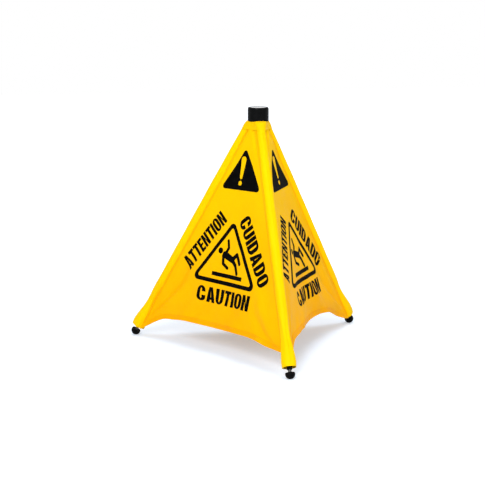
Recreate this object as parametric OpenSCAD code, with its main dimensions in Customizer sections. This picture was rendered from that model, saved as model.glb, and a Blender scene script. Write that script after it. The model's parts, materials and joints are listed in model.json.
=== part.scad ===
// Pop-up safety cone: three legs hinged under a round cap carry a three-sided fabric cover.
// Millimetres, Z up. The origin lies on the floor, on the cone's axis. Leg 1 points to -Y.
// All three leg lines meet at the apex, a point on the axis at the height of the cap's top.

/* [Overall] */
// Height from the floor to the top of the cap
height = 508; // [480:1:620]
// Distance from the axis to the centre of each foot
foot_spread = 282.3; // [235:1:345]

/* [Cap] */
// Outer diameter of the cap
cap_d = 44; // [44:0.5:60]
// Height of the cap
cap_h = 29; // [29:0.5:40]
// Thickness of the cap's skirt
cap_wall = 2.2; // [1.6:0.1:2.2]
// Thickness of the cap's top plate
cap_top = 4; // [3:0.1:5]
// Depth of the round recess in the cap's top
recess_depth = 1.2; // [0.8:0.1:1.6]
// Width of the rim around the recess
rim_w = 4.5; // [3:0.1:6]
// Thickness of the disc in the recess
disc_t = 0.6; // [0.4:0.1:0.8]

/* [Hinges] */
// Distance from the axis to each hinge pin
hinge_r = 13.5; // [13:0.1:14]
// Diameter of a hinge pin
pin_d = 3; // [2:0.1:3.6]
// Outer radius of a hinge barrel
barrel_r = 3.5; // [3.2:0.1:3.6]
// Width of a knuckle between its two ears
knuckle_w = 6; // [5:0.1:6.4]
// Thickness of one ear
ear_t = 2; // [1.6:0.1:2.4]
// Length of the crank from the hinge pin to its tip
crank_l = 9; // [8.6:0.1:9.2]
// Thickness of the crank
crank_t = 3; // [2.4:0.1:3.2]
// Angle through which each leg folds
fold_angle = 28.5; // [27:0.1:28.8]

/* [Plunger and spring] */
// Radius of the plunger's disc
plunger_r = 4.9; // [4.8:0.1:5.4]
// Thickness of the plunger's disc
plunger_t = 2; // [1.5:0.1:2.4]
// Diameter of the guide rod
guide_d = 3; // [2.4:0.1:3.2]
// Wire diameter of the spring
wire_d = 1; // [0.8:0.1:1.2]
// Mean radius of the spring
spring_r = 4.2; // [3.6:0.1:4.3]
// Turns of the spring
spring_turns = 5; // [4:1:6]

/* [Legs] */
// Diameter of a leg rod
rod_d = 7; // [6:0.1:8]
// Wall of the socket that holds the rod
socket_wall = 1.7; // [1.4:0.1:2.2]
// Length of the socket
socket_l = 24; // [20:1:40]
// Diameter of a foot
foot_d = 20; // [18:0.5:26]
// How much of the foot's ball is cut off to make its flat sole
sole_cut = 0.4; // [0.2:0.1:1]
// Height of the foot above the centre of its ball
foot_brim = 2.5; // [1:0.1:4]
// Diameter of the collar above the foot
collar_d = 11; // [10:0.5:14]
// Length of the collar
collar_l = 15; // [10:1:25]
// Length of bare rod between the foot and the collar
neck_l = 6; // [4:1:10]
// Diameter of the rivet that locks the rod in its socket
rivet_d = 2; // [1.6:0.1:2.6]

/* [Cover] */
// Thickness of the coated fabric with its lining and seams
cloth_t = 1; // [0.8:0.1:1.4]
// Outer radius of a sleeve below the cap
sleeve_r = 9.3; // [8.9:0.1:10.4]
// Outer radius of a sleeve where its flare begins
sleeve_low_r = 10.2; // [9.4:0.1:11.5]
// Outer radius of a sleeve's mouth
mouth_r = 13.6; // [11:0.1:15]
// Distance from the foot's centre up to the sleeve's mouth
mouth_up = 14; // [12:1:40]
// Distance from the foot's centre up to the start of the flare
flare_up = 62; // [50:1:90]
// Distance from the foot's centre up to the corner of the hem
hem_up = 42; // [30:1:60]
// Rise of the hem's arch above its corners
hem_rise = 17; // [0:1:40]
// Distance from the apex down to the top edge of the panels
panel_top = 34; // [34:1:50]

/* [Hidden] */
$fn = 64;
eps = 0.02;

// Clearances
bore_gap = 0.05;
slide_gap = 0.2;
cloth_gap = 0.3;

// Legs, measured along their own lines
foot_r = foot_d / 2;
foot_z = foot_r - sole_cut;
lean = atan(foot_spread / (height - foot_z));
leg_line = norm([foot_spread, height - foot_z]);
hinge_z = height - hinge_r / tan(lean);
hinge_down = hinge_r / sin(lean);
hinge_up = leg_line - hinge_down;
rod_r = rod_d / 2;
socket_r = rod_r + bore_gap + socket_wall;
arm_t = 5.2;

// Cap and hub
cap_r = cap_d / 2;
cap_in_r = cap_r - cap_wall;
cap_z = height - cap_h;
pin_r = pin_d / 2;
ring_z = hinge_z + barrel_r + 0.33;
ring_t = 3;
ring_r = cap_in_r - slide_gap;
tower_in_r = 9.2;
tower_wall = 2;
tower_top = height - cap_top - 2;
tower_roof = 2;
screw_at_r = 15.5;
boss_r = 3;
screw_r = 1.2;
screw_head_r = 2.7;
screw_head_h = 1.6;
screw_l = 10;
pin_half = knuckle_w / 2 + slide_gap + ear_t + 0.4;

// The crank's tip swings as far below its hinge as above it, and the plunger clears both
tip_r = crank_t / 2;
tip_swing = fold_angle / 2;
plunger_z = hinge_z - (hinge_r - plunger_r) * tan(tip_swing) + tip_r / cos(tip_swing)
    + bore_gap;
guide_r = guide_d / 2;
guide_z = plunger_z - 2.5;
guide_head_r = 3;
guide_head_h = 1.2;
spring_from = plunger_z + plunger_t + bore_gap;
spring_to = tower_top - tower_roof - bore_gap;

// Lugs that hold the top of the cover, between the hinges
lug_in = max(6, plunger_r + 0.4);
lug_t = 2.4;
lug_out = lug_in + lug_t;
lug_w = 5.2;
lug_z = cap_z - 1.5;
tab_t = 0.8;
tab_z = lug_z - 1.5;
tab_top = lug_z + 8;
clip_t = 1.2;
clip_top = lug_z + 7;
tab_hole_z = lug_z + 3.5;
tab_screw_r = 0.9;
tab_head_r = 1.8;
tab_head_t = 1;

// Top end of the socket and of the sleeve, measured down the leg from the hinge
socket_from = (hinge_z - cap_z + socket_r * sin(lean) + 0.5) / cos(lean);
rod_from = socket_from + 3.5;
sleeve_from = (hinge_z - cap_z + sleeve_r * sin(lean) + 0.4) / cos(lean);

// A panel is flat and holds two leg lines. Its middle line leans by mid_lean.
mid_lean = atan(tan(lean) / 2);
half_angle = acos(cos(lean) / cos(mid_lean));
strips = 4;
strip_angle = 2 * half_angle / strips;
corner_down = leg_line - hem_up;
hem_y = corner_down * cos(half_angle);
hem_x = corner_down * sin(half_angle);

black = [0.07, 0.07, 0.07];
yellow = [1, 0.76, 0];

// Places a shape drawn at the hinge, with X outward, for leg i
module at_hinge(i) {
    rotate([0, 0, 150 + 120 * i]) translate([hinge_r, 0, hinge_z]) children();
}

// Places a shape drawn with Z up the leg from the centre of its foot
module along_leg(i) {
    rotate([0, 0, 150 + 120 * i]) translate([foot_spread, 0, foot_z])
        rotate([0, -lean, 0]) children();
}

// Repeats a shape at the three places between the legs, with X outward
module between_legs() {
    for (i = [1:3]) rotate([0, 0, 210 + 120 * i]) children();
}

module top_cap() {
    color(black) difference() {
        union() {
            difference() {
                rotate_extrude() polygon([
                    [0, cap_z], [cap_r - 0.8, cap_z], [cap_r, cap_z + 0.8],
                    [cap_r, height - 3.5], [cap_r - 1, height - 0.6],
                    [cap_r - 1.6, height], [0, height],
                ]);
                translate([0, 0, cap_z - 1])
                    cylinder(r = cap_in_r, h = cap_h - cap_top + 1);
            }
            between_legs() translate([screw_at_r, 0, ring_z + ring_t])
                cylinder(r = boss_r, h = height - cap_top - ring_z - ring_t + eps);
        }
        translate([0, 0, height - recess_depth])
            cylinder(r = cap_r - rim_w, h = recess_depth + 1);
        between_legs() translate([screw_at_r, 0, ring_z - 1])
            cylinder(r = screw_r + bore_gap, h = screw_l + 1.5);
    }
}

module cap_disc() {
    color("whitesmoke") translate([0, 0, height - recess_depth])
        cylinder(r = cap_r - rim_w - slide_gap, h = disc_t);
}

module cap_screws() {
    color("silver") between_legs() translate([screw_at_r, 0, ring_z]) {
        cylinder(r = screw_r, h = screw_l);
        translate([0, 0, -screw_head_h]) cylinder(r = screw_head_r, h = screw_head_h);
    }
}

// Ring with three pairs of ears, the spring's tower and the lugs for the cover
module hub_body() {
    color([0.16, 0.16, 0.17]) difference() {
        union() {
            translate([0, 0, ring_z]) cylinder(r = ring_r, h = ring_t);
            translate([0, 0, ring_z])
                cylinder(r = tower_in_r + tower_wall, h = tower_top - ring_z);
            for (i = [1:3], side = [-1, 1]) at_hinge(i) ear(side);
        }
        translate([0, 0, ring_z - 1])
            cylinder(r = tower_in_r, h = tower_top - tower_roof - ring_z + 1);
        cylinder(r = guide_r + bore_gap, h = height);
        between_legs() translate([screw_at_r, 0, ring_z - 1])
            cylinder(r = screw_r + slide_gap, h = ring_t + 2);
    }
    color([0.16, 0.16, 0.17]) between_legs() lug();
}

module ear(side) {
    near = knuckle_w / 2 + slide_gap;
    translate([0, side > 0 ? near + ear_t : -near, 0]) rotate([90, 0, 0]) difference() {
        union() {
            cylinder(r = barrel_r, h = ear_t);
            translate([-barrel_r, 0, 0]) cube([2 * barrel_r, ring_z - hinge_z + 1, ear_t]);
        }
        translate([0, 0, -1]) cylinder(r = pin_r + bore_gap, h = ear_t + 2);
    }
}

module lug() {
    difference() {
        union() {
            translate([lug_in, -lug_w / 2, lug_z])
                cube([lug_t, lug_w, ring_z + ring_t - lug_z]);
            translate([lug_in, -lug_w / 2, ring_z])
                cube([tower_in_r - lug_in + 0.4, lug_w, ring_t]);
        }
        tab_bore(tab_screw_r + bore_gap);
    }
}

// Hole along X for the screw that clamps a tab
module tab_bore(r) {
    translate([lug_in - 1, 0, tab_hole_z]) rotate([0, 90, 0]) cylinder(r = r, h = 12);
}

module guide_rod() {
    color("silver") {
        translate([0, 0, guide_z]) cylinder(r = guide_r, h = tower_top - guide_z + eps);
        translate([0, 0, tower_top]) cylinder(r = guide_head_r, h = guide_head_h);
    }
}

// A coil of round wire, swept as one closed tube
module return_spring() {
    sides = 8;
    per_turn = 14;
    rings = spring_turns * per_turn;
    wire_r = wire_d / 2;
    rise = spring_to - spring_from - wire_d;
    function ring_at(k) = [for (j = [0:sides - 1])
        let (turn = 360 * k / per_turn, a = 360 * j / sides, r = spring_r + wire_r * cos(a))
            [r * cos(turn), r * sin(turn),
             spring_from + wire_r + rise * k / rings + wire_r * sin(a)]];
    points = [for (k = [0:rings]) each ring_at(k)];
    walls = [for (k = [0:rings - 1], j = [0:sides - 1])
        let (a = k * sides + j, b = k * sides + (j + 1) % sides)
            each [[a, a + sides, b], [b, a + sides, b + sides]]];
    ends = [[for (j = [0:sides - 1]) j],
            [for (j = [sides - 1:-1:0]) rings * sides + j]];
    color("silver") polyhedron(points, concat(walls, ends));
}

module hinge_pin(i) {
    color("silver") at_hinge(i) translate([0, pin_half, 0]) rotate([90, 0, 0])
        cylinder(r = pin_r, h = 2 * pin_half);
}

// The panels' top edges run up into these tabs
module cover_tabs() {
    color(yellow) between_legs() difference() {
        translate([lug_out, -lug_w / 2, tab_z]) cube([tab_t, lug_w, tab_top - tab_z]);
        tab_bore(tab_screw_r + bore_gap);
    }
}

module cover_clips() {
    color(black) between_legs() difference() {
        translate([lug_out + tab_t, -lug_w / 2, lug_z]) cube([clip_t, lug_w, clip_top - lug_z]);
        tab_bore(tab_screw_r + bore_gap);
    }
}

module cover_screws() {
    head_at = lug_out + tab_t + clip_t;
    color("silver") between_legs() translate([0, 0, tab_hole_z]) rotate([0, 90, 0]) {
        translate([0, 0, lug_in + 0.3]) cylinder(r = tab_screw_r, h = head_at - lug_in - 0.3);
        translate([0, 0, head_at]) cylinder(r = tab_head_r, h = tab_head_t);
    }
}

// Rests on the three crank tips, and the spring presses on it from above
module plunger() {
    color("silver") translate([0, 0, plunger_z]) difference() {
        union() {
            cylinder(r = plunger_r, h = plunger_t);
            cylinder(r = spring_r - wire_d / 2 - slide_gap, h = plunger_t + 1.5);
        }
        translate([0, 0, -1]) cylinder(r = guide_r + bore_gap, h = plunger_t + 5);
    }
}

// Barrel on the pin, crank inward to the plunger, heel as the stop, socket down the leg
module knuckle(i) {
    color([0.16, 0.16, 0.17]) at_hinge(i) difference() {
        union() {
            across(knuckle_w) circle(r = barrel_r);
            across(knuckle_w) rotate(180 + tip_swing) translate([0, -crank_t / 2])
                square([crank_l, crank_t]);
            across(knuckle_w) rotate(180 + tip_swing) translate([crank_l, 0]) circle(r = tip_r);
            across(knuckle_w) square([barrel_r + 0.5, ring_z - hinge_z - slide_gap]);
            down_leg() {
                translate([-arm_t / 2, -knuckle_w / 2, 0])
                    cube([arm_t, knuckle_w, socket_from + 1]);
                translate([0, 0, socket_from]) cylinder(r = socket_r, h = socket_l);
            }
        }
        across(knuckle_w + 2) circle(r = pin_r + bore_gap);
        down_leg() {
            translate([0, 0, rod_from])
                cylinder(r = rod_r + bore_gap, h = socket_from + socket_l - rod_from + 1);
            rivet_bore(rivet_d / 2 + bore_gap);
        }
    }
}

// Extrudes a shape drawn in the leg's upright plane, width w about the middle
module across(w) {
    translate([0, w / 2, 0]) rotate([90, 0, 0]) linear_extrude(w) children();
}

// From the hinge, with Z down the leg
module down_leg() {
    rotate([0, 180 - lean, 0]) children();
}

module rivet_bore(r) {
    translate([0, socket_r + 1, socket_from + socket_l / 2 + 4]) rotate([90, 0, 0])
        cylinder(r = r, h = 2 * socket_r + 2);
}

module rod(i) {
    top = hinge_up - rod_from - slide_gap;
    color([0.2, 0.2, 0.21]) difference() {
        along_leg(i) translate([0, 0, foot_brim - foot_r / 2])
            cylinder(r = rod_r, h = top - foot_brim + foot_r / 2);
        at_hinge(i) down_leg() rivet_bore(rivet_d / 2 + bore_gap);
    }
}

module rod_rivet(i) {
    color("silver") at_hinge(i) down_leg()
        translate([0, socket_r, socket_from + socket_l / 2 + 4]) rotate([90, 0, 0])
            cylinder(r = rivet_d / 2, h = 2 * socket_r);
}

// A rubber ball cut flat on top, with a small flat sole
module foot(i) {
    color(black) difference() {
        along_leg(i) difference() {
            intersection() {
                sphere(r = foot_r);
                translate([0, 0, -foot_r - 1]) cylinder(r = foot_r + 1, h = foot_r + foot_brim + 1);
            }
            translate([0, 0, foot_brim - foot_r / 2 - bore_gap])
                cylinder(r = rod_r + bore_gap, h = foot_r);
        }
        translate([-2 * foot_spread, -2 * foot_spread, -foot_d])
            cube([4 * foot_spread, 4 * foot_spread, foot_d]);
    }
}

// Moulded collar on the rod, inside the sleeve's mouth
module leg_collar(i) {
    color(black) along_leg(i) translate([0, 0, foot_brim + neck_l]) difference() {
        rotate_extrude() polygon([
            [0, 0], [collar_d / 2 - 1, 0], [collar_d / 2, 1], [collar_d / 2, collar_l - 4],
            [rod_r + 1, collar_l], [0, collar_l],
        ]);
        translate([0, 0, -1]) cylinder(r = rod_r + bore_gap, h = collar_l + 2);
    }
}

// Fabric tube round the leg, gathered onto the socket at its top and flared at its mouth
module sleeve(i) {
    top = hinge_up - sleeve_from;
    color(yellow) along_leg(i) rotate_extrude() polygon([
        [mouth_r, mouth_up], [sleeve_low_r, flare_up], [sleeve_r, top],
        [socket_r + cloth_gap, top], [socket_r + cloth_gap, top - cloth_t],
        [sleeve_r - cloth_t, top - cloth_t], [sleeve_low_r - cloth_t, flare_up],
        [mouth_r - cloth_t, mouth_up],
    ]);
}

// A point of a panel, from the apex: angle from the middle line and distance down the panel
function fan(angle, down) = [down * tan(angle), -down];

// How far down the panel the hem lies at x
function hem_at(x) = hem_y - hem_rise * (1 - pow(min(1, abs(x) / hem_x), 3));

// How far down the panel a ray from the apex meets the hem
function ray_hem(angle, down = hem_y, tries = 12) =
    tries == 0 ? down : ray_hem(angle, hem_at(down * tan(angle)), tries - 1);

// Outline of strip k, between two rays from the apex, with clearance on each side
module strip_outline(k) {
    from = -half_angle + (k - 1) * strip_angle;
    steps = 6;
    rays = [for (j = [0:steps]) from + strip_angle * j / steps];
    hem = [for (a = rays) fan(a, ray_hem(a))];
    difference() {
        polygon(concat([fan(from, panel_top), fan(from + strip_angle, panel_top)],
                       [for (j = [steps:-1:0]) hem[j]]));
        if (k > 1) slit(from);
        if (k < strips) slit(from + strip_angle);
        for (side = [-1, 1]) sleeve_room(side * half_angle);
    }
}

// Half of the narrow gap between two strips lies on each side of their ray
module slit(angle) {
    rotate(angle) translate([-cloth_gap / 2, -2 * leg_line])
        square([cloth_gap, 2 * leg_line]);
}

// The room that a sleeve takes in the panel's plane
module sleeve_room(angle) {
    widths = [for (r = [sleeve_r, sleeve_low_r, mouth_r]) r + cloth_gap];
    downs = [0, flare_up - leg_line, mouth_up - leg_line];
    rotate(angle) polygon([
        for (j = [0:2]) [widths[j], downs[j]],
        for (j = [2:-1:0]) [-widths[j], downs[j]],
    ]);
}

// Strip k of the panel between leg i and the next one
module strip(i, k) {
    color(yellow) rotate([0, 0, 120 * i - 60]) translate([0, 0, height])
        rotate([90 - mid_lean, 0, 0]) translate([0, 0, -cloth_t / 2])
            linear_extrude(cloth_t) strip_outline(k);
}

top_cap();
cap_disc();
cap_screws();
hub_body();
guide_rod();
return_spring();
hinge_pin(1);  // hinge_pin_1
hinge_pin(2);  // hinge_pin_2
hinge_pin(3);  // hinge_pin_3
cover_tabs();
cover_clips();
cover_screws();
plunger();
knuckle(1);  // knuckle_1
rod(1);  // rod_1
rod_rivet(1);  // rod_rivet_1
foot(1);  // foot_1
leg_collar(1);  // leg_collar_1
sleeve(1);  // sleeve_1
knuckle(2);  // knuckle_2
rod(2);  // rod_2
rod_rivet(2);  // rod_rivet_2
foot(2);  // foot_2
leg_collar(2);  // leg_collar_2
sleeve(2);  // sleeve_2
knuckle(3);  // knuckle_3
rod(3);  // rod_3
rod_rivet(3);  // rod_rivet_3
foot(3);  // foot_3
leg_collar(3);  // leg_collar_3
sleeve(3);  // sleeve_3
strip(1, 1);  // panel_1_strip_1
strip(1, 2);  // panel_1_strip_2
strip(1, 3);  // panel_1_strip_3
strip(1, 4);  // panel_1_strip_4
strip(2, 1);  // panel_2_strip_1
strip(2, 2);  // panel_2_strip_2
strip(2, 3);  // panel_2_strip_3
strip(2, 4);  // panel_2_strip_4
strip(3, 1);  // panel_3_strip_1
strip(3, 2);  // panel_3_strip_2
strip(3, 3);  // panel_3_strip_3
strip(3, 4);  // panel_3_strip_4
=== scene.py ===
import json
import math

import bmesh
import bpy
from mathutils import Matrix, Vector
from mathutils.geometry import tessellate_polygon


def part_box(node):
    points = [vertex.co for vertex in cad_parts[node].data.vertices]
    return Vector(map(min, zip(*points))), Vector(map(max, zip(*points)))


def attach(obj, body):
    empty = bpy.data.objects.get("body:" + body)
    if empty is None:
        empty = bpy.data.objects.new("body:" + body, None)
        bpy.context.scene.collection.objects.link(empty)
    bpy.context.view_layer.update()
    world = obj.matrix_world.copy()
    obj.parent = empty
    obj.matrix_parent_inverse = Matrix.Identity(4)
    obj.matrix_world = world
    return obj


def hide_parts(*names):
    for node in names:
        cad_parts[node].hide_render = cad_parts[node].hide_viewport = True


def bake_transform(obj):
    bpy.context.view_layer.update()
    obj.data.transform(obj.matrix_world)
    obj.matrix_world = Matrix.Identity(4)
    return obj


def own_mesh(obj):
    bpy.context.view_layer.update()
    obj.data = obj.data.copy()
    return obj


# Looks of a folding wet floor cone: a sewn yellow cover on three legs. Metres, Z up.
# A panel's own coordinates are x, to the right seen from outside, and d, down from the apex.

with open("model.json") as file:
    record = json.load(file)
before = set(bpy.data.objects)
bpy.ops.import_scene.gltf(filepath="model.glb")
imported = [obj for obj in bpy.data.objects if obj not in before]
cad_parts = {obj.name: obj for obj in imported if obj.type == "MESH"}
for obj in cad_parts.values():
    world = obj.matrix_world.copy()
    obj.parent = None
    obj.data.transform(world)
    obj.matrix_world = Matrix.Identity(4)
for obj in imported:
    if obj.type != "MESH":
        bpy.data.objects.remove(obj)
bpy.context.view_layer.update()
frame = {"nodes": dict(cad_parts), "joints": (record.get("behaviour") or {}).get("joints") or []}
nodes = frame["nodes"]
joints = {joint["name"]: joint for joint in frame["joints"]}

PANELS = (1, 2, 3)
SIDES = (-1, 1)
SIDE_NAME = {-1: "left", 1: "right"}

# ---------------------------------------------------------------- places from the frame

APEX = Vector((0, 0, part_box("top_cap")[1].z))
CAP_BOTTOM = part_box("top_cap")[0].z
LEGS = {p: Vector(joints[f"panel_{p}_seam_1"]["axis"]).normalized() for p in PANELS}
HALF_ANGLE = LEGS[1].angle(LEGS[2]) / 2
SIN_HALF = math.sin(HALF_ANGLE)
COS_HALF = math.cos(HALF_ANGLE)
CREASE_SLOPE = math.tan(HALF_ANGLE / 2)
SLEEVE_END = (APEX.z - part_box("sleeve_1")[0].z) / -LEGS[1].z - 0.007

# ---------------------------------------------------------------- sizes of the cover

CLOTH = 0.0005
SLEEVE_START = 0.048
PANEL_TOP = 0.041
LIFT_FADE = 0.035
LIFT_FADE_NECK = 0.085
# Straight outward is 0. A strip turns by 119.5 degrees when the cone folds, so meeting its sleeve
# further round than that keeps it on its own side of the leg.
CONTACT = math.radians(128)
# Folded, a panel's middle comes back beside its sleeve, FOLDED_GAP times as far off as it is far down.
FOLDED_GAP = 0.052
CROWN_ROOM = 0.001
NECK_DIP = 0.0021
RIPPLE = 0.0009
# How steeply the cloth may rise from a leg line at the neck and still clear its neighbour folded.
NECK_SLOPE = 0.45
CREASE_BAND = 0.012
CREASE_CUTS = 12
# Grid columns of a half panel inside and outside its crease, and grid rows from neck to hem.
INNER_COLUMNS = 14
OUTER_COLUMNS = 18
PANEL_ROWS = 100
# Roughly how far down the hem is: where each search for it starts.
HEM_NEAR = 0.475
HEM_GUESS = 0.47
# Distances down a panel over which the neck's shape fades out, and the slack comes in.
NECK_FADE = (0.05, 0.13)
SLACK_RANGE = (0.20, 0.46)
RIM_THICKNESS = 0.0006
SLEEVE_RADIUS_FOR_UV = 0.011
SEAM_BAND = 0.005
HEM_BAND = 0.011
BAND_LIFT = 0.0005
BAND_THICKNESS = 0.0006
SEAM_START = 0.006
SEAM_SHORTENING = 0.014
SEAM_FOOT = 0.48
HEM_LINE_GAP = 0.0004
HEM_LINE_STOP = 0.004
SEAM_STITCH_INSET = 0.003
HEM_STITCH_RISE = 0.009
STITCH_STEP = 0.0046
STITCH_LENGTH = 0.0030
STITCH_WIDTH = 0.0007
PRINT_LIFT = 0.00022
PRINT_THICKNESS = 0.00010
SHARP_ANGLE = math.radians(40)
WEAVE_SCALE = 390.0


# ---------------------------------------------------------------- small helpers

def clamp(value):
    return max(0.0, min(1.0, value))


def smooth(value, start, end):
    t = clamp((value - start) / (end - start))
    return t * t * (3 - 2 * t)


def curve_through(knots):
    """A smooth function through (place, value) knots, level beyond the first and the last."""
    slopes = []
    for i in range(len(knots)):
        before = knots[max(i - 1, 0)]
        after = knots[min(i + 1, len(knots) - 1)]
        slopes.append((after[1] - before[1]) / (after[0] - before[0]))

    def value_at(place):
        if place <= knots[0][0]:
            return knots[0][1]
        if place >= knots[-1][0]:
            return knots[-1][1]
        i = max(k for k in range(len(knots) - 1) if knots[k][0] <= place)
        width = knots[i + 1][0] - knots[i][0]
        t = (place - knots[i][0]) / width
        rise = (2 * t**3 - 3 * t**2 + 1) * knots[i][1] + (3 * t**2 - 2 * t**3) * knots[i + 1][1]
        return rise + width * ((t**3 - 2 * t**2 + t) * slopes[i] + (t**3 - t**2) * slopes[i + 1])

    return value_at


def new_object(name, points, faces, material, uvs=None):
    """A mesh object with smooth faces, sharp corners and, where given, one UV for each point."""
    mesh = bpy.data.meshes.new(name)
    mesh.from_pydata([tuple(point) for point in points], [], faces)
    if uvs:
        layer = mesh.uv_layers.new(name="cloth")
        for loop in mesh.loops:
            layer.data[loop.index].uv = uvs[loop.vertex_index]
    mesh.polygons.foreach_set("use_smooth", [True] * len(mesh.polygons))
    mesh.set_sharp_from_angle(angle=SHARP_ANGLE)
    mesh.materials.append(material)
    made = bpy.data.objects.new(name, mesh)
    bpy.context.scene.collection.objects.link(made)
    return made


# ---------------------------------------------------------------- materials

def linear(red, green, blue):
    """The linear colour of an sRGB one given from 0 to 255."""
    def one(value):
        value /= 255
        return value / 12.92 if value <= 0.04045 else ((value + 0.055) / 1.055) ** 2.4

    return (one(red), one(green), one(blue), 1.0)


class Shader:
    """A Principled material with short calls for the nodes that the finishes share."""

    def __init__(self, name, roughness, specular=0.5, metallic=0.0):
        self.material = bpy.data.materials.new(name)
        self.material.use_nodes = True
        self.tree = self.material.node_tree
        self.principled = self.tree.nodes["Principled BSDF"]
        self.principled.inputs["Roughness"].default_value = roughness
        self.principled.inputs["Specular IOR Level"].default_value = specular
        self.principled.inputs["Metallic"].default_value = metallic
        self.coordinates = self.tree.nodes.new("ShaderNodeTexCoord")

    def link(self, source, target):
        self.tree.links.new(source, target)

    def noise(self, space, scale, detail=3.0, stretch=(1, 1, 1)):
        mapping = self.tree.nodes.new("ShaderNodeMapping")
        mapping.inputs["Scale"].default_value = stretch
        texture = self.tree.nodes.new("ShaderNodeTexNoise")
        texture.inputs["Scale"].default_value = scale
        texture.inputs["Detail"].default_value = detail
        self.link(self.coordinates.outputs[space], mapping.inputs["Vector"])
        self.link(mapping.outputs["Vector"], texture.inputs["Vector"])
        return texture.outputs["Fac"]

    def wave(self, direction, scale):
        texture = self.tree.nodes.new("ShaderNodeTexWave")
        texture.bands_direction = direction
        texture.inputs["Scale"].default_value = scale
        texture.inputs["Distortion"].default_value = 0.4
        self.link(self.coordinates.outputs["UV"], texture.inputs["Vector"])
        return texture.outputs["Fac"]

    def ramp(self, source, stops):
        node = self.tree.nodes.new("ShaderNodeValToRGB")
        first, last = node.color_ramp.elements
        first.position, first.color = stops[0]
        last.position, last.color = stops[-1]
        for place, colour in stops[1:-1]:
            node.color_ramp.elements.new(place).color = colour
        self.link(source, node.inputs["Fac"])
        return node.outputs["Color"]

    def mix(self, first, second, amount):
        node = self.tree.nodes.new("ShaderNodeMix")
        node.data_type = "RGBA"
        node.inputs[0].default_value = amount
        self.link(first, node.inputs[6])
        self.link(second, node.inputs[7])
        return node.outputs[2]

    def math(self, operation, first, second):
        node = self.tree.nodes.new("ShaderNodeMath")
        node.operation = operation
        self.link(first, node.inputs[0])
        self.link(second, node.inputs[1])
        return node.outputs[0]

    def vary_roughness(self, source, low, high):
        node = self.tree.nodes.new("ShaderNodeMapRange")
        node.inputs["To Min"].default_value = low
        node.inputs["To Max"].default_value = high
        self.link(source, node.inputs["Value"])
        self.link(node.outputs["Result"], self.principled.inputs["Roughness"])

    def bump(self, height, distance, strength, under=None):
        node = self.tree.nodes.new("ShaderNodeBump")
        node.inputs["Distance"].default_value = distance
        node.inputs["Strength"].default_value = strength
        self.link(height, node.inputs["Height"])
        if under:
            self.link(under, node.inputs["Normal"])
        self.link(node.outputs["Normal"], self.principled.inputs["Normal"])
        return node.outputs["Normal"]

    def colour(self, source):
        self.link(source, self.principled.inputs["Base Color"])


def coated_fabric(name, high, low, deep):
    """Woven yellow cloth under a thin coating, a little more orange towards the hem as painted shade."""
    shader = Shader(name, roughness=0.50, specular=0.025)
    separate = shader.tree.nodes.new("ShaderNodeSeparateXYZ")
    shader.link(shader.coordinates.outputs["UV"], separate.inputs[0])
    down = shader.tree.nodes.new("ShaderNodeMapRange")
    down.inputs["From Min"].default_value = 0.0
    down.inputs["From Max"].default_value = -0.5
    shader.link(separate.outputs["Y"], down.inputs["Value"])
    # Painted shade: the colour runs from high near the neck to the more orange low towards the hem.
    body = shader.ramp(down.outputs["Result"], [(0.1, high), (0.95, low)])
    cloudy = shader.ramp(shader.noise("UV", 9.0), [(0.35, high), (0.75, deep)])
    shader.colour(shader.mix(body, cloudy, 0.22))
    weave = shader.math("ADD", shader.wave("X", WEAVE_SCALE), shader.wave("Y", WEAVE_SCALE))
    creases = shader.bump(shader.noise("UV", 26.0, detail=4.0), distance=0.0045, strength=0.55)
    shader.bump(weave, distance=0.00008, strength=0.5, under=creases)
    shader.vary_roughness(shader.noise("UV", 40.0), 0.36, 0.50)
    return shader.material


def grained(name, dark, light, roughness, grain, depth, specular=0.5, metallic=0.0, stretch=(1, 1, 1)):
    """A moulded, rubber or metal finish: mottled colour, uneven gloss and a fine grain."""
    shader = Shader(name, roughness, specular, metallic)
    mottle = shader.noise("Object", grain / 8, stretch=stretch)
    shader.colour(shader.ramp(mottle, [(0.3, dark), (0.7, light)]))
    gloss = shader.noise("Object", grain / 3, stretch=stretch)
    shader.vary_roughness(gloss, roughness - 0.06, roughness + 0.08)
    fine = shader.noise("Object", grain, detail=5.0, stretch=stretch)
    shader.bump(fine, distance=depth, strength=0.4)
    return shader.material


def grey(value):
    return (value, value, value, 1.0)


MATERIALS = {
    # The cover's low colour, more orange towards the hem, is painted shade.
    "cover_fabric": coated_fabric(
        "cover_fabric", linear(255, 203, 0), linear(255, 176, 0), linear(252, 164, 0)
    ),
    # The sleeves are the cover's cloth painted lighter: a painted highlight on their rounded ridges, which
    # catch the light.
    "sleeve_fabric": coated_fabric(
        "sleeve_fabric", linear(255, 207, 0), linear(255, 203, 0), linear(253, 178, 0)
    ),
    "seam_fabric": coated_fabric(
        "seam_fabric", linear(254, 190, 0), linear(250, 166, 0), linear(244, 154, 0)
    ),
    "cap_plastic": grained("cap_plastic", grey(0.0012), grey(0.0035), 0.36, 900, 0.00012, specular=0.04),
    "disc_plastic": grained("disc_plastic", grey(0.50), grey(0.60), 0.30, 500, 0.00005),
    "hub_plastic": grained("hub_plastic", grey(0.020), grey(0.040), 0.50, 900, 0.00015, specular=0.25),
    "foot_rubber": grained("foot_rubber", grey(0.0012), grey(0.0035), 0.55, 1200, 0.0002, specular=0.04),
    "rod_fibre": grained("rod_fibre", grey(0.018), grey(0.045), 0.38, 700, 0.0001, stretch=(1, 1, 0.06)),
    "steel": grained("steel", grey(0.48), grey(0.66), 0.30, 900, 0.00006, metallic=1.0),
    "black_print": grained("black_print", grey(0.0010), grey(0.0030), 0.55, 600, 0.00008, specular=0.01),
    "thread": grained("thread", linear(238, 160, 0), linear(255, 190, 10), 0.65, 2500, 0.0002),
}


# ---------------------------------------------------------------- the cover's surface

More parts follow.
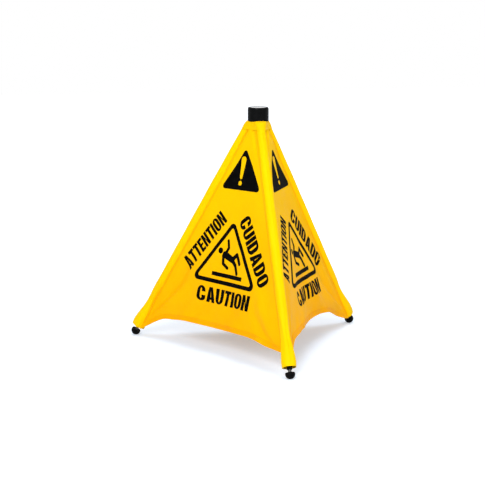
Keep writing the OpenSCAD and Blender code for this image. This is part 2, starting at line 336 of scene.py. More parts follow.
# A sleeve's radius by the distance from the apex: it narrows above its flared mouth.
sleeve_radius = curve_through([
    (0.04, 0.0088),
    (0.20, 0.0105),
    (0.455, 0.0102),
    (0.495, 0.0092),
    (0.542, 0.0146),
    (SLEEVE_END, 0.0136),
])


def leg_outward(leg):
    """The direction across a leg line that points away from the axis."""
    flat = Vector((LEGS[leg].x, LEGS[leg].y, 0)).normalized()
    return (flat - flat.dot(LEGS[leg]) * LEGS[leg]).normalized()


def next_leg(panel):
    return panel % 3 + 1


class Panel:
    """One of the three faces: its directions, its hem, and its slack between the legs."""

    def __init__(self, number, left_hem, right_hem, slack, left_fold, right_fold):
        first = LEGS[number]
        second = LEGS[next_leg(number)]
        self.number = number
        self.down = (first + second).normalized()
        self.across = (second - first).normalized()
        self.out = self.across.cross(-self.down).normalized()
        self.hem_curve = {-1: curve_through(left_hem), 1: curve_through(right_hem)}
        self.slack = slack
        self.fold_depth = {-1: left_fold, 1: right_fold}

    def from_leg(self, x, d, side):
        """(distance from that side's leg line, distance along it) of a point on the flat panel."""
        return d * SIN_HALF - side * x * COS_HALF, d * COS_HALF + side * x * SIN_HALF

    def hem(self, x):
        """How far down the hem is at x. Each side's curve gives it by the distance from the leg."""
        side = 1 if x >= 0 else -1
        d = HEM_NEAR
        for _ in range(6):
            d = self.hem_curve[side](self.from_leg(x, d, side)[0])
        return d

    def edge(self, d, inset=0.0):
        """How far from the middle line the panel meets the sleeve, less inset, at d."""
        x = d * SIN_HALF / COS_HALF
        for _ in range(6):
            meet = contact(self.from_leg(x, d, 1)[1])[0]
            x = (d * SIN_HALF - meet - inset) / COS_HALF
        return x

    def lift(self, x, d):
        """How far the cloth stands out from the flat panel."""
        fade = LIFT_FADE_NECK + (LIFT_FADE - LIFT_FADE_NECK) * smooth(d, *NECK_FADE)
        rises = []
        near = []
        tight = 0.0
        for side in SIDES:
            away, along = self.from_leg(x, d, side)
            meet, rise = contact(along)
            near.append(math.exp(-max(away - meet, 0) / fade))
            rises.append(rise * near[-1])
            tight += max(away, 1e-4) ** -4
        free = (1 - near[0]) * (1 - near[1])
        sum_of_rises = rises[0] + rises[1] - rises[0] * rises[1] / sleeve_radius(d)
        sewn = sum_of_rises - free * (self.bow(x, d) + self.folds(x, d))
        gathered = min(sleeve_radius(d), NECK_SLOPE * tight**-0.25)
        return sewn + max(gathered - sewn, 0) * (1 - smooth(d, *NECK_FADE))

    def bow(self, x, d):
        """How far the cloth stands back from the flat panel.

        It crowns outward near the top, so that it clears the sleeve folded. Lower down it hangs back,
        but only between the creases, so that the layers on both sides of a crease don't cross.
        """
        share = clamp(abs(x) / max(self.edge(d), 1e-6))
        crown = max(sleeve_radius(d) + CROWN_ROOM - FOLDED_GAP * d, 0) * (1 - share**2)
        inside_crease = clamp(1 - abs(x) / (d * CREASE_SLOPE))
        return self.slack * smooth(d, *SLACK_RANGE) * smooth(inside_crease, 0, 1) - crown

    def folds(self, x, d):
        """Shallow tension folds that fan out from the two lower corners and die out at the creases."""
        total = 0.0
        from_crease = abs(abs(x) - d * CREASE_SLOPE)
        for side in SIDES:
            away, along = self.from_leg(x, d, side)
            run = SLEEVE_END - along
            reach = math.hypot(away, run)
            angle = math.atan2(away, run)
            fan = math.sin(13 * angle + 1.7 * self.number + side)
            fan += 0.45 * math.sin(23 * angle + 30 * reach + self.number)
            comes_in = smooth(reach, 0.02, 0.08)
            dies_out = 1 - smooth(reach, 0.14, 0.30)
            total += self.fold_depth[side] * fan * comes_in * dies_out
        ripple = math.sin(105 * x + 9 * d + self.number) * math.sin(38 * d + 21 * x + 2 * self.number)
        total += RIPPLE * ripple * smooth(d, 0.16, 0.30)
        return total * smooth(from_crease, 0, 0.04)

    def point(self, x, d, raised=0.0):
        return APEX + d * self.down + x * self.across + (self.lift(x, d) + raised) * self.out


def turn_to_panel():
    """The angle at a leg line from straight outward to the panel's flat direction."""
    leg = LEGS[1]
    across = (LEGS[2] - LEGS[1]).normalized()
    flat = (across - across.dot(leg) * leg).normalized()
    return leg_outward(1).angle(flat)


TURN = turn_to_panel()


def contact(along):
    """(distance from the leg line, height over the flat panel) where a panel meets its sleeve."""
    radius = sleeve_radius(along)
    return radius * math.cos(TURN - CONTACT), radius * math.sin(TURN - CONTACT)


# Hem curves, as (distance from the leg line, distance down from the apex): a web runs down to the
# sleeve's mouth on legs 2 and 3, and the hem stops short of the mouth on leg 1, as in the photo.
panels = {
    1: Panel(
        1,
        [(0.012, 0.499), (0.030, 0.482), (0.050, 0.468), (0.075, 0.464), (0.125, 0.461), (0.20, 0.460)],
        [(0.014, 0.514), (0.040, 0.506), (0.066, 0.490), (0.090, 0.476), (0.13, 0.466), (0.20, 0.460)],
        slack=0.009,
        left_fold=0.0036,
        right_fold=0.0062,
    ),
    2: Panel(
        2,
        [(0.014, 0.513), (0.050, 0.484), (0.085, 0.475), (0.13, 0.469), (0.20, 0.467)],
        [(0.014, 0.513), (0.050, 0.484), (0.085, 0.475), (0.13, 0.469), (0.20, 0.467)],
        slack=0.010,
        left_fold=0.0050,
        right_fold=0.0050,
    ),
    3: Panel(
        3,
        [(0.014, 0.514), (0.030, 0.500), (0.052, 0.481), (0.083, 0.475), (0.12, 0.471), (0.20, 0.470)],
        [(0.014, 0.482), (0.050, 0.479), (0.075, 0.474), (0.11, 0.470), (0.20, 0.470)],
        slack=0.007,
        left_fold=0.0058,
        right_fold=0.0036,
    ),
}


# ---------------------------------------------------------------- cloth pieces on the panels

def thin_shell(panel, flat_points, faces, raised, thickness):
    """Points, faces and UVs of a closed layer on a panel, from flat (x, d) points and faces."""
    count = len(flat_points)
    top = [panel.point(x, d, raised) for x, d in flat_points]
    points = top + [point - thickness * panel.out for point in top]
    used = {}  # the faces' edges, in a fixed order
    for face in faces:
        for i, first in enumerate(face):
            used[(first, face[(i + 1) % len(face)])] = True
    closed = [tuple(face) for face in faces]
    closed += [tuple(reversed([i + count for i in face])) for face in faces]
    for first, second in used:
        if (second, first) not in used:
            closed.append((second, first, first + count, second + count))
    uvs = [(x, -d) for x, d in flat_points] * 2
    return points, closed, uvs


def join_parts(parts):
    """Several (points, faces, uvs) as one."""
    points, faces, uvs = [], [], []
    for part_points, part_faces, part_uvs in parts:
        offset = len(points)
        points += part_points
        faces += [tuple(i + offset for i in face) for face in part_faces]
        uvs += part_uvs
    return points, faces, uvs


def bend_with_strips(piece, panel, side):
    """Bakes the piece's placement into its mesh; the crease's direction is found but not used."""
    outer, inner, seam = (1, 2, 2) if side < 0 else (4, 3, 3)
    crease = Vector(joints[f"panel_{panel.number}_seam_{seam}"]["axis"]).normalized()
    if crease.dot(panel.down) < 0:
        crease.negate()
    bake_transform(piece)


def column_place(panel, d, column):
    """The distance from the middle line of a grid column, with close columns along the crease."""
    edge = panel.edge(d)
    crease = d * CREASE_SLOPE
    half_band = min(CREASE_BAND / 2 * math.hypot(1, CREASE_SLOPE), 0.9 * crease, 0.9 * (edge - crease))
    if column <= INNER_COLUMNS:
        return (crease - half_band) * column / INNER_COLUMNS
    if column <= INNER_COLUMNS + CREASE_CUTS:
        return crease + half_band * (2 * (column - INNER_COLUMNS) / CREASE_CUTS - 1)
    start = crease + half_band
    return start + (edge - start) * (column - INNER_COLUMNS - CREASE_CUTS) / OUTER_COLUMNS


def half_grid(panel, side):
    """Flat points and faces from the middle line to the sleeve and from the neck to the hem."""
    columns = INNER_COLUMNS + CREASE_CUTS + OUTER_COLUMNS
    flat_points = []
    for row in range(PANEL_ROWS + 1):
        v = row / PANEL_ROWS
        for column in range(columns + 1):
            d = PANEL_TOP + v * (HEM_GUESS - PANEL_TOP)
            for _ in range(8):
                x = side * column_place(panel, d, column)
                d = PANEL_TOP + v * (panel.hem(x if column else side * 1e-9) - PANEL_TOP)
            flat_points.append((x, d))
    faces = []
    width = columns + 1
    for row in range(PANEL_ROWS):
        for column in range(columns):
            i = row * width + column
            face = (i, i + width, i + width + 1, i + 1)
            faces.append(face if side > 0 else tuple(reversed(face)))
    return flat_points, faces


def band(panel, line, inward, width, steps=140):
    """A narrow doubled strip of cloth along line(t), reaching width towards inward(t)."""
    flat_points = []
    for i in range(steps + 1):
        x, d = line(i / steps)
        dx, dd = inward(i / steps)
        flat_points += [(x, d), (x + dx * width, d + dd * width)]
    faces = [(2 * i, 2 * i + 2, 2 * i + 3, 2 * i + 1) for i in range(steps)]
    corners = [flat_points[i] for i in faces[steps // 2]]
    turn = sum(a[0] * -b[1] + b[0] * a[1] for a, b in zip(corners, corners[1:] + corners[:1]))
    if turn < 0:
        faces = [tuple(reversed(face)) for face in faces]
    return thin_shell(panel, flat_points, faces, BAND_LIFT, BAND_THICKNESS)


# Along a stitch: share of its length, half width in thread widths, and height of its crown.
STITCH_PROFILE = ((0, 0.25, -0.0001), (0.25, 0.5, 0.0011), (0.75, 0.5, 0.0011), (1, 0.25, -0.0001))
STITCH_EDGE_HEIGHT = 0.0002


def stitch(panel, start, end):
    """One short thread lying on the cloth, crowned in the middle and tucked in at its ends."""
    x1, d1 = start
    x2, d2 = end
    length = math.hypot(x2 - x1, d2 - d1)
    nx, nd = -(d2 - d1) / length, (x2 - x1) / length
    points, faces = [], []
    for share, half, height in STITCH_PROFILE:
        x = x1 + (x2 - x1) * share
        d = d1 + (d2 - d1) * share
        for across, rise in ((-1, STITCH_EDGE_HEIGHT), (0, height), (1, STITCH_EDGE_HEIGHT)):
            offset = across * half * STITCH_WIDTH
            points.append(panel.point(x + nx * offset, d + nd * offset, rise))
    for i in range(3):
        for k in range(2):
            a = 3 * i + k
            faces.append((a, a + 3, a + 4, a + 1))
        faces.append((3 * i, 3 * i + 2, 3 * i + 5, 3 * i + 3))
    faces.append((0, 1, 2))
    faces.append((9, 11, 10))
    return points, faces, [(0.0, 0.0)] * len(points)


def stitch_row(panel, line, samples=400):
    """Stitches at an even step along line(t)."""
    track = [line(i / samples) for i in range(samples + 1)]
    lengths = [0.0]
    for first, second in zip(track, track[1:]):
        lengths.append(lengths[-1] + math.hypot(second[0] - first[0], second[1] - first[1]))

    def at(length):
        i = next((k for k in range(1, len(lengths)) if lengths[k] >= length), len(lengths) - 1)
        share = clamp((length - lengths[i - 1]) / max(lengths[i] - lengths[i - 1], 1e-9))
        return tuple(a + (b - a) * share for a, b in zip(track[i - 1], track[i]))

    count = int(lengths[-1] / STITCH_STEP)
    starts = [i * STITCH_STEP for i in range(count)]
    return [stitch(panel, at(start), at(start + STITCH_LENGTH)) for start in starts]


def seam_line(panel, side, inset):
    """The line from neck to hem that stays inset from the sleeve."""
    def line(t):
        foot = panel.hem(side * panel.edge(SEAM_FOOT, inset))
        d = PANEL_TOP + SEAM_START + t * (foot - PANEL_TOP - SEAM_SHORTENING)
        return side * panel.edge(d, inset), d

    return line


def hem_line(panel, side, rise):
    """The line from the panel's middle to the sleeve that stays a rise above the hem."""
    reach = panel.edge(HEM_NEAR, HEM_LINE_STOP)

    def line(t):
        x = side * (HEM_LINE_GAP + t * (reach - HEM_LINE_GAP))
        return x, panel.hem(x) - rise

    return line


def make_half_panel(panel, side):
    """Half a panel with its sewn bands, its stitches and its half of the print."""
    name = f"{panel.number}_{SIDE_NAME[side]}"
    flat_points, faces = half_grid(panel, side)
    points, closed, uvs = thin_shell(panel, flat_points, faces, 0.0, CLOTH)
    cloth = new_object(f"cover_panel_{name}", points, closed, MATERIALS["cover_fabric"], uvs)
    strips = (1, 2) if side < 0 else (4, 3)
    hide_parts(*[f"panel_{panel.number}_strip_{strip}" for strip in strips])

    seam = band(panel, seam_line(panel, side, 0.0002), lambda t: (-side, 0), SEAM_BAND)
    hem = band(panel, hem_line(panel, side, 0.0), lambda t: (0, -1), HEM_BAND)
    points, faces_of_bands, uvs = join_parts([seam, hem])
    bands = new_object(f"cover_bands_{name}", points, faces_of_bands, MATERIALS["seam_fabric"], uvs)

    rows = stitch_row(panel, seam_line(panel, side, SEAM_STITCH_INSET))
    rows += stitch_row(panel, hem_line(panel, side, HEM_STITCH_RISE))
    points, faces_of_rows, uvs = join_parts(rows)
    stitches = new_object(f"cover_stitches_{name}", points, faces_of_rows, MATERIALS["thread"], uvs)

    printed = make_print(panel, side)
    pieces = [cloth, bands, stitches, printed]
    for piece in pieces:
        bend_with_strips(piece, panel, side)
    width = panel.edge(HEM_NEAR)
    length = panel.hem(side * width) - PANEL_TOP
    f"cover_sleeve_{panel.number if side < 0 else next_leg(panel.number)}"


# ---------------------------------------------------------------- the print: shapes in (x, y), y up

def arc(x, y, radius_x, radius_y, start, end, steps=12):
    """Points on an ellipse round (x, y), between two angles in degrees."""
    points = []
    for i in range(steps + 1):
        angle = math.radians(start + (end - start) * i / steps)
        points.append((x + radius_x * math.cos(angle), y + radius_y * math.sin(angle)))
    return points


def rounded(corners, radius, steps=6):
    """A polygon with its corners rounded."""
    points = []
    for i, corner in enumerate(corners):
        here = Vector(corner)
        back = (Vector(corners[i - 1]) - here).normalized()
        ahead = (Vector(corners[(i + 1) % len(corners)]) - here).normalized()
        half = back.angle(ahead) / 2
        reach = radius / math.tan(half)
        centre = here + (back + ahead).normalized() * radius / math.sin(half)
        first = here + back * reach - centre
        last = here + ahead * reach - centre
        turn = first.angle_signed(last)
        for k in range(steps + 1):
            angle = -turn * k / steps
            cosine, sine = math.cos(angle), math.sin(angle)
            points.append((centre.x + cosine * first.x - sine * first.y,
                           centre.y + sine * first.x + cosine * first.y))
    return points


def capsule(start, end, width_start, width_end=None):
    """A stroke with round ends, which may taper."""
    width_end = width_end or width_start
    angle = math.degrees(math.atan2(end[1] - start[1], end[0] - start[0]))
    first = arc(*start, width_start / 2, width_start / 2, angle + 90, angle + 270, 8)
    second = arc(*end, width_end / 2, width_end / 2, angle - 90, angle + 90, 8)
    return first + second


# Letters are drawn 1 high and w wide, on a baseline at y = 0.
STEM = 0.24
BAR = 0.20


def letter_a(w):
    bar, foot, peak = 0.30, 0.17, 0.13
    outer = [(0, 0), (w / 2 - peak, 1), (w / 2 + peak, 1), (w, 0), (w - STEM, 0),
             (w - STEM - 0.035, foot), (STEM + 0.035, foot), (STEM, 0)]
    hole = [(STEM + 0.065, bar + 0.03), (w - STEM - 0.065, bar + 0.03), (w / 2, 0.80)]
    return [outer, hole]


def letter_c(w):
    outer = arc(w / 2, 0.70, w / 2, 0.30, 0, 180) + arc(w / 2, 0.30, w / 2, 0.30, 180, 360)
    inner = w / 2 - STEM
    back = arc(w / 2, 0.31, inner, 0.16, 360, 180) + arc(w / 2, 0.69, inner, 0.16, 180, 0)
    return [outer + [(w, 0.38), (w - STEM, 0.38)] + back + [(w - STEM, 0.62), (w, 0.62)]]


def letter_d(w):
    middle, outside = w * 0.45, w * 0.55
    inside = outside - STEM
    outer = [(0, 0)] + arc(middle, 0.33, outside, 0.33, 270, 360)
    outer += arc(middle, 0.67, outside, 0.33, 0, 90) + [(0, 1)]
    hole = [(STEM, 0.17)] + arc(middle, 0.35, inside, 0.18, 270, 360)
    hole += arc(middle, 0.65, inside, 0.18, 0, 90) + [(STEM, 0.83)]
    return [outer, hole]


def letter_e(w):
    return [[(0, 0), (w, 0), (w, BAR), (STEM, BAR), (STEM, 0.42), (w * 0.92, 0.42), (w * 0.92, 0.58),
             (STEM, 0.58), (STEM, 1 - BAR), (w, 1 - BAR), (w, 1), (0, 1)]]


def letter_i(w):
    return [[(0, 0), (w, 0), (w, 1), (0, 1)]]


def letter_n(w):
    return [[(0, 0), (STEM, 0), (STEM, 0.62), (w - STEM, 0), (w, 0), (w, 1), (w - STEM, 1),
             (w - STEM, 0.38), (STEM, 1), (0, 1)]]


def letter_o(w):
    def ring(width, height, y_round):
        top = arc(w / 2, 1 - height - y_round, width, y_round, 0, 180)
        return top + arc(w / 2, height + y_round, width, y_round, 180, 360)

    return [ring(w / 2, 0.0, 0.30), ring(w / 2 - STEM, 0.15, 0.16)]


def letter_t(w):
    left, right = (w - STEM) / 2, (w + STEM) / 2
    return [[(left, 0), (right, 0), (right, 1 - BAR), (w, 1 - BAR), (w, 1),
             (0, 1), (0, 1 - BAR), (left, 1 - BAR)]]


def letter_u(w):
    outside = arc(w / 2, 0.30, w / 2, 0.30, 180, 360)
    inside = arc(w / 2, 0.31, w / 2 - STEM, 0.16, 360, 180)
    return [[(0, 1)] + outside + [(w, 1), (w - STEM, 1)] + inside + [(STEM, 1)]]


GLYPHS = {
    "A": (letter_a, 0.66),
    "C": (letter_c, 0.60),
    "D": (letter_d, 0.60),
    "E": (letter_e, 0.50),
    "I": (letter_i, STEM),
    "N": (letter_n, 0.62),
    "O": (letter_o, 0.62),
    "T": (letter_t, 0.56),
    "U": (letter_u, 0.60),
}
LETTER_GAP = 0.06


def word(text, start, end, height):
    """A word's letters along a baseline from start to end, stretched to fill it."""
    widths = [GLYPHS[letter][1] for letter in text]
    natural = sum(widths) + LETTER_GAP * (len(text) - 1)
    along = Vector(end) - Vector(start)
    up = Vector((-along.y, along.x)).normalized() * height
    shapes = []
    place = 0.0
    for letter, width in zip(text, widths):
        shape = []
        for contour in GLYPHS[letter][0](width):
            moved = [Vector(start) + along * ((place + x) / natural) + up * y for x, y in contour]
            shape.append([tuple(point) for point in moved])
        shapes.append(shape)
        place += width + LETTER_GAP
    return shapes


def shrunk(corners, margin):
    """A triangle with each side moved in by margin."""
    a, b, c = [Vector(corner) for corner in corners]
    sides = ((b - c).length, (c - a).length, (a - b).length)
    centre = (a * sides[0] + b * sides[1] + c * sides[2]) / sum(sides)
    area = abs((b - a).x * (c - a).y - (b - a).y * (c - a).x) / 2
    inradius = 2 * area / sum(sides)
    return [tuple(centre + (point - centre) * (1 - margin / inradius)) for point in (a, b, c)]


def alert_triangle():
    """A solid rounded triangle with the exclamation mark left open."""
    triangle = rounded([(-0.0025, -0.089), (-0.0605, -0.1785), (0.0610, -0.1765)], 0.006)
    bar = capsule((-0.0050, -0.1138), (-0.0043, -0.1508), 0.0150, 0.0076)
    dot = arc(-0.0043, -0.1630, 0.0050, 0.0050, 0, 345, 23)
    return [[triangle, bar, dot]]


def falling_person():
    """The slipping figure in its triangle, with the floor under it."""
    corners = [(-0.0014, -0.2415), (-0.0990, -0.3775), (0.1045, -0.3790)]
    hip = (0.0135, -0.3232)
    shoulder = (-0.0120, -0.3150)
    raised_knee = (0.0260, -0.3108)
    standing_knee = (0.0257, -0.3337)
    shapes = [[rounded(corners, 0.010), rounded(shrunk(corners, 0.0086), 0.004)]]
    shapes.append([arc(-0.0260, -0.3085, 0.0064, 0.0064, 0, 345, 23)])
    shapes.append([capsule(shoulder, hip, 0.0148, 0.0130)])
    shapes.append([capsule((-0.0125, -0.3150), (-0.0040, -0.3000), 0.0074)])
    shapes.append([capsule((-0.0040, -0.3000), (-0.0085, -0.2855), 0.0068)])
    shapes.append([capsule((-0.0165, -0.3175), (-0.0130, -0.3345), 0.0074)])
    shapes.append([capsule((-0.0130, -0.3345), (0.0020, -0.3420), 0.0068)])
    shapes.append([capsule(hip, raised_knee, 0.0100, 0.0082)])
    shapes.append([capsule(raised_knee, (0.0385, -0.3290), 0.0078)])
    shapes.append([capsule(hip, standing_knee, 0.0100, 0.0082)])
    shapes.append([capsule(standing_knee, (0.0350, -0.3500), 0.0078)])
    shapes.append([[(-0.0390, -0.3540), (-0.0390, -0.3625), (0.0540, -0.3630), (0.0540, -0.3545)]])
    return shapes


def print_shapes():
    shapes = alert_triangle() + falling_person()
    shapes += word("ATTENTION", (-0.1079, -0.3627), (-0.0225, -0.2452), 0.033)
    shapes += word("CUIDADO", (0.0140, -0.2434), (0.1120, -0.3706), 0.033)
    shapes += word("CAUTION", (-0.0700, -0.4200), (0.0910, -0.4200), 0.032)
    return shapes


def cut_to_grid(shapes, step=0.006):
    """The flat shapes as triangles cut on a grid and, as the cloth is, along each crease."""
    mesh = bmesh.new()
    for shape in shapes:
        contours = [[Vector((x, y, 0)) for x, y in contour] for contour in shape]
        corners = [mesh.verts.new(point) for contour in contours for point in contour]
        for triangle in tessellate_polygon(contours):
            a, b, c = [corners[i] for i in triangle]
            turn = (b.co - a.co).cross(c.co - a.co).z
            if abs(turn) > 1e-12:
                mesh.faces.new((a, b, c) if turn > 0 else (a, c, b))
    cuts = []
    for normal, low, high in ((Vector((1, 0, 0)), -0.12, 0.12), (Vector((0, 1, 0)), -0.43, -0.08)):
        for i in range(math.floor(low / step), math.ceil(high / step) + 1):
            cuts.append((normal, i * step))
    for side in SIDES:
        normal = Vector((1, side * CREASE_SLOPE, 0)).normalized()
        for i in range(CREASE_CUTS + 1):
            cuts.append((normal, CREASE_BAND * (i / CREASE_CUTS - 0.5)))
    for normal, offset in cuts:
        everything = mesh.verts[:] + mesh.edges[:] + mesh.faces[:]
        bmesh.ops.bisect_plane(mesh, geom=everything, plane_co=normal * offset, plane_no=normal, dist=1e-7)
    return mesh


PRINT = cut_to_grid(print_shapes())


def make_print(panel, side):
    """The half of the print on one side of a panel's middle line."""
    numbers, flat_points, faces = {}, [], []
    for face in PRINT.faces:
        if face.calc_center_median().x * side <= 0:
            continue
        for vertex in face.verts:
            if vertex not in numbers:
                numbers[vertex] = len(flat_points)
                flat_points.append((vertex.co.x, -vertex.co.y))
        faces.append(tuple(numbers[vertex] for vertex in face.verts))
    points, closed, uvs = thin_shell(panel, flat_points, faces, PRINT_LIFT, PRINT_THICKNESS)
    name = f"print_{panel.number}_{SIDE_NAME[side]}"
    return new_object(name, points, closed, MATERIALS["black_print"], uvs)


# ---------------------------------------------------------------- sleeves and neck

def ring_faces(rows, columns, flipped=False):
    """Quads over rows of closed rings."""
    faces = []
    for row in range(rows - 1):
        for column in range(columns):
            after = (column + 1) % columns
            face = (row * columns + column, row * columns + after,
                    (row + 1) * columns + after, (row + 1) * columns + column)
            faces.append(tuple(reversed(face)) if flipped else face)
    return faces


def tube_of_cloth(name, rings_outside, rings_inside, material, uvs):
    """A closed cloth tube: the outside down, the rim, and the inside back up."""
    rings = rings_outside + rings_inside[::-1]
    columns = len(rings[0])
    points = [point for ring in rings for point in ring]
    faces = ring_faces(len(rings), columns)
    last = (len(rings) - 1) * columns
    for column in range(columns):
        after = (column + 1) % columns
        faces.append((last + column, last + after, after, column))
    made = new_object(name, points, faces, material, uvs + uvs[::-1])
    repair = bmesh.new()
    repair.from_mesh(made.data)
    bmesh.ops.recalc_face_normals(repair, faces=repair.faces)
    repair.to_mesh(made.data)
    repair.free()
    return made


def make_sleeve(leg, columns=48, rows=96):
    """The pocket round a leg, which widens to an open mouth with a doubled rim."""
    line = LEGS[leg]
    out = leg_outward(leg)
    side = line.cross(out)
    outside, inside, uvs = [], [], []
    for row in range(rows + 1):
        along = SLEEVE_START + (SLEEVE_END - SLEEVE_START) * row / rows
        rim = RIM_THICKNESS * smooth(along, SLEEVE_END - 0.0125, SLEEVE_END - 0.0115)
        pull = 0.0003 + 0.0007 * smooth(along, 0.38, 0.50)
        centre = APEX + along * line
        outer_ring, inner_ring = [], []
        for column in range(columns):
            angle = 2 * math.pi * column / columns
            radius = sleeve_radius(along) + rim
            radius += pull * math.sin(5 * angle + 40 * along + leg) * math.sin(31 * along + 2 * leg)
            way = math.cos(angle) * out + math.sin(angle) * side
            outer_ring.append(centre + radius * way)
            inner_ring.append(centre + (radius - CLOTH - rim) * way)
            uvs.append((angle * SLEEVE_RADIUS_FOR_UV, -along))
        outside.append(outer_ring)
        inside.append(inner_ring)
    name = f"cover_sleeve_{leg}"
    sleeve = tube_of_cloth(name, outside, inside, MATERIALS["sleeve_fabric"], uvs)
    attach(sleeve, f"leg_{leg}")
    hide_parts(f"sleeve_{leg}")


def neck_ring(z, centre, radius, dip=0.0, arc_steps=12, flat_steps=8):
    """The outline round three circles of one radius, which dips in between them."""
    points = []
    corners = [Vector((LEGS[leg].x, LEGS[leg].y, 0)).normalized() for leg in PANELS]
    for i, corner in enumerate(corners):
        start = math.degrees(math.atan2(corner.y, corner.x)) - 60
        bend = arc(corner.x * centre, corner.y * centre, radius, radius, start, start + 120, arc_steps)
        points += [Vector((x, y, z)) for x, y in bend]
        after = corners[(i + 1) % 3]
        next_start = math.radians(math.degrees(math.atan2(after.y, after.x)) - 60)
        goal = Vector((after.x * centre + radius * math.cos(next_start),
                       after.y * centre + radius * math.sin(next_start), z))
        begin = points[-1].copy()
        inward = -Vector((begin.x + goal.x, begin.y + goal.y, 0)).normalized()
        for k in range(1, flat_steps):
            share = k / flat_steps
            points.append(begin.lerp(goal, share) + dip * math.sin(math.pi * share) * inward)
    return points


def make_neck(rows=20):
    """The sewn collar that gathers the sleeves and the panels under the cap."""
    top, bottom = CAP_BOTTOM + 0.002, 0.462
    top_centre, top_radius, low_radius = 0.002, 0.0175, 0.0102
    low_centre = (APEX.z - bottom) * math.tan(LEGS[1].angle(Vector((0, 0, -1))))
    outside, inside, uvs = [], [], []
    for row in range(rows + 1):
        share = row / rows
        flare = math.sqrt(share)
        centre = top_centre + flare * (low_centre - top_centre)
        radius = top_radius + flare * (low_radius - top_radius)
        z = top + share * (bottom - top)
        dip = NECK_DIP * share
        outside.append(neck_ring(z, centre, radius, dip))
        inside.append(neck_ring(z, centre, radius - CLOTH, dip))
        uvs += [(column * 0.003, z - APEX.z) for column in range(len(outside[-1]))]
    neck = tube_of_cloth("cover_neck", outside, inside, MATERIALS["cover_fabric"], uvs)
    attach(neck, "hub")


# ---------------------------------------------------------------- the spring under the cap

def make_spring(turns=5, wire=0.001, per_turn=28, sides=10):
    """The return spring as wound wire."""
    low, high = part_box("return_spring")
    coil = (high.x - low.x) / 2 - wire / 2
    height = high.z - low.z
    points = []
    for k in range(turns * per_turn + 1):
        turn = 2 * math.pi * k / per_turn
        middle = low.z + wire / 2 + (height - wire) * k / (turns * per_turn)
        for j in range(sides):
            angle = 2 * math.pi * j / sides
            reach = coil + wire / 2 * math.cos(angle)
            height_here = middle + wire / 2 * math.sin(angle)
            points.append((reach * math.cos(turn), reach * math.sin(turn), height_here))
    faces = ring_faces(turns * per_turn + 1, sides, flipped=True)
    faces.append(tuple(range(sides)))
    faces.append(tuple(reversed(range(len(points) - sides, len(points)))))
    spring = new_object("return_spring_wire", points, faces, MATERIALS["steel"])
    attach(spring, "hub")
    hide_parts("return_spring")
    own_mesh(spring)


# ---------------------------------------------------------------- stage, light and camera

def shows_to_camera(tree):
    """1 for rays from the camera, off gloss and through glass, otherwise 0."""
    path = tree.nodes.new("ShaderNodeLightPath")
    total = path.outputs["Is Camera Ray"]
    for name in ("Is Glossy Ray", "Is Transmission Ray"):
        node = tree.nodes.new("ShaderNodeMath")
        node.operation = "MAXIMUM"
        tree.links.new(total, node.inputs[0])
        tree.links.new(path.outputs[name], node.inputs[1])
        total = node.outputs[0]
    return total


# Cool enough to keep the shadow neutral under light that comes off the yellow cover.
FLOOR_COLOUR = (0.69, 0.79, 0.93, 1)


def make_floor(size=14.0, glow=0.36, far_glow=1.0, near=0.5, far=1.6):
    """A pale floor that keeps the shadow near the object and reads as plain white further out."""
    half = size / 2
    material = bpy.data.materials.new("studio_floor")
    material.use_nodes = True
    tree = material.node_tree
    tree.nodes.clear()
    diffuse = tree.nodes.new("ShaderNodeBsdfDiffuse")
    diffuse.inputs["Color"].default_value = FLOOR_COLOUR
    emission = tree.nodes.new("ShaderNodeEmission")
    dim = tree.nodes.new("ShaderNodeMath")
    dim.operation = "MULTIPLY"
    coordinates = tree.nodes.new("ShaderNodeTexCoord")
    away = tree.nodes.new("ShaderNodeVectorMath")
    away.operation = "LENGTH"
    spread = tree.nodes.new("ShaderNodeMapRange")
    spread.inputs["From Min"].default_value = near
    spread.inputs["From Max"].default_value = far
    spread.inputs["To Min"].default_value = glow
    spread.inputs["To Max"].default_value = far_glow
    tree.links.new(coordinates.outputs["Object"], away.inputs[0])
    tree.links.new(away.outputs["Value"], spread.inputs["Value"])
    tree.links.new(spread.outputs["Result"], dim.inputs[1])
    add = tree.nodes.new("ShaderNodeAddShader")
    output = tree.nodes.new("ShaderNodeOutputMaterial")
    tree.links.new(shows_to_camera(tree), dim.inputs[0])
    tree.links.new(dim.outputs[0], emission.inputs["Strength"])
    tree.links.new(diffuse.outputs[0], add.inputs[0])
    tree.links.new(emission.outputs[0], add.inputs[1])
    tree.links.new(add.outputs[0], output.inputs["Surface"])
    corners = [(-half, -half, 0), (half, -half, 0), (half, half, 0), (-half, half, 0)]
    floor = new_object("studio_floor", [Vector(corner) for corner in corners], [(0, 1, 2, 3)], material)


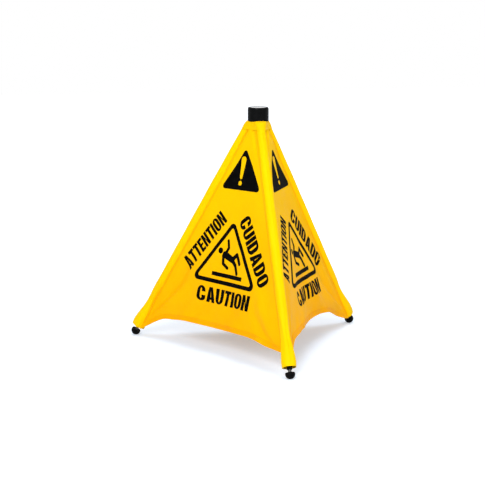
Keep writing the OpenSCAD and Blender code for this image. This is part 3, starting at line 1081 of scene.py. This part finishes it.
def make_world(strength=0.40):
    """Even light from all round, seen as plain white."""
    world = bpy.data.worlds.new("studio")
    bpy.context.scene.world = world
    world.use_nodes = True
    tree = world.node_tree
    background = tree.nodes["Background"]
    background.inputs["Color"].default_value = (1, 1, 1, 1)
    level = tree.nodes.new("ShaderNodeMapRange")
    level.inputs["To Min"].default_value = strength
    level.inputs["To Max"].default_value = 1.0
    tree.links.new(shows_to_camera(tree), level.inputs["Value"])
    tree.links.new(level.outputs["Result"], background.inputs["Strength"])


def make_softbox(name, place, target, size, power):
    """A square lamp of size metres and power watts, aimed at target."""
    lamp = bpy.data.lights.new(name, "AREA")
    lamp.shape = "SQUARE"
    lamp.size = size
    lamp.energy = power
    made = bpy.data.objects.new(name, lamp)
    made.location = place
    made.rotation_euler = (Vector(target) - Vector(place)).to_track_quat("-Z", "Y").to_euler()
    bpy.context.scene.collection.objects.link(made)


CAMERA_LENS = 104.96
CAMERA_SHIFT = -0.0324


def make_camera(distance=3.0, azimuth=-12.8, elevation=10.4, target=(0, 0, 0.221)):
    """The photograph's view, from a fit to its feet and cap."""
    a, e = math.radians(azimuth), math.radians(elevation)
    back = Vector((math.sin(a) * math.cos(e), -math.cos(a) * math.cos(e), math.sin(e)))
    data = bpy.data.cameras.new("camera")
    data.lens = CAMERA_LENS
    data.sensor_width = 36
    data.shift_x = CAMERA_SHIFT
    camera = bpy.data.objects.new("camera", data)
    camera.location = Vector(target) + distance * back
    camera.rotation_euler = (-back).to_track_quat("-Z", "Y").to_euler()
    bpy.context.scene.collection.objects.link(camera)
    bpy.context.scene.camera = camera


# ---------------------------------------------------------------- build

def finish_cad_nodes():
    """Each carried-over node takes its slot's finish."""
    for node in nodes.values():
        for slot in node.material_slots:
            slot_name = slot.material.name.split(".")[0]
            slot.material = MATERIALS[slot_name]


finish_cad_nodes()
make_camera()
make_world()
make_floor()
make_softbox("key_light", (-1.5, -2.6, 1.9), (0, 0, 0.2), 1.4, 78)
make_softbox("side_light", (1.7, -2.5, 1.5), (0, 0, 0.2), 1.4, 28)
make_softbox("top_light", (0.3, 0.6, 2.8), (0, 0, 0.1), 2.2, 34)

for leg in PANELS:
    make_sleeve(leg)
make_neck()
make_spring()
for panel in panels.values():
    for side in SIDES:
        make_half_panel(panel, side)
PRINT.free()

bpy.context.scene.view_settings.view_transform = "Standard"
